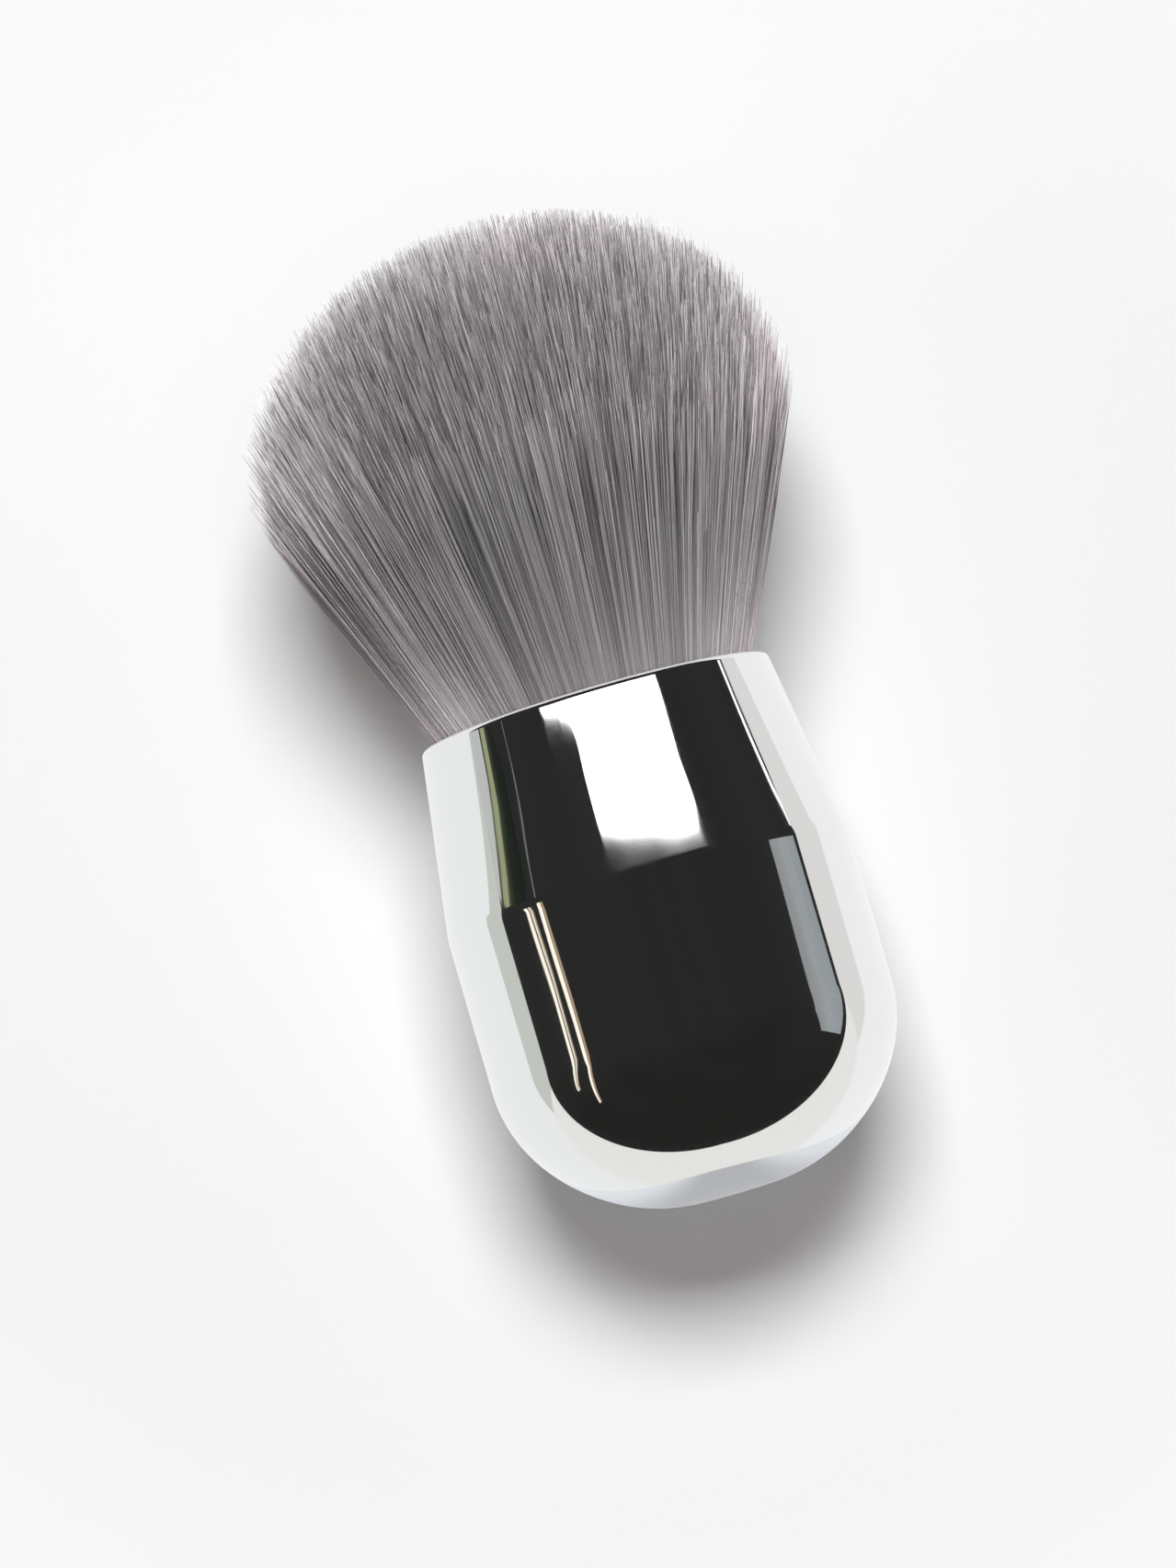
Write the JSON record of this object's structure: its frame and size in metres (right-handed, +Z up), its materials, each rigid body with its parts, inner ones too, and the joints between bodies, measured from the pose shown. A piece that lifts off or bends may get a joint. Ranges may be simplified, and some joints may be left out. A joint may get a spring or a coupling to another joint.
{
  "type": "nail dust brush",
  "caption": "Short kabuki-style brush lying on its side: polished cup handle with a domed end, and a flared, domed head of soft fibre.",
  "frame": {"origin": "bottom centre of the brush's box as it lies on its side: on the table, midway along it and midway across it", "axes": "+Z up from the table, +Y towards the hair and along the brush, whose axis rises 4 degrees towards the hair, +X across it"},
  "size_m": [0.0436, 0.08, 0.0417],
  "materials": {
    "chrome_plate": "mirror polished plating",
    "hot_melt": "cast hot-melt glue",
    "slug_steel": "sawn and tumbled",
    "moulded_core": "moulded, matt",
    "cup_aluminium": "drawn, satin",
    "binding_thread": "wound thread",
    "soft_fibre": "fine synthetic fibre, soft sheen"
  },
  "bodies": {
    "root": {"handle_shell": "chrome_plate", "glue_bed": "hot_melt", "weight_slug": "slug_steel", "core_sleeve": "moulded_core", "knot_cup": "cup_aluminium", "binding_thread": "binding_thread", "tuft_centre": "soft_fibre", "tuft_mid_1": "soft_fibre", "tuft_mid_2": "soft_fibre", "tuft_mid_3": "soft_fibre", "tuft_mid_4": "soft_fibre", "tuft_mid_5": "soft_fibre", "tuft_mid_6": "soft_fibre", "tuft_outer_1": "soft_fibre", "tuft_outer_2": "soft_fibre", "tuft_outer_3": "soft_fibre", "tuft_outer_4": "soft_fibre", "tuft_outer_5": "soft_fibre", "tuft_outer_6": "soft_fibre"}
  },
  "joints": []
}
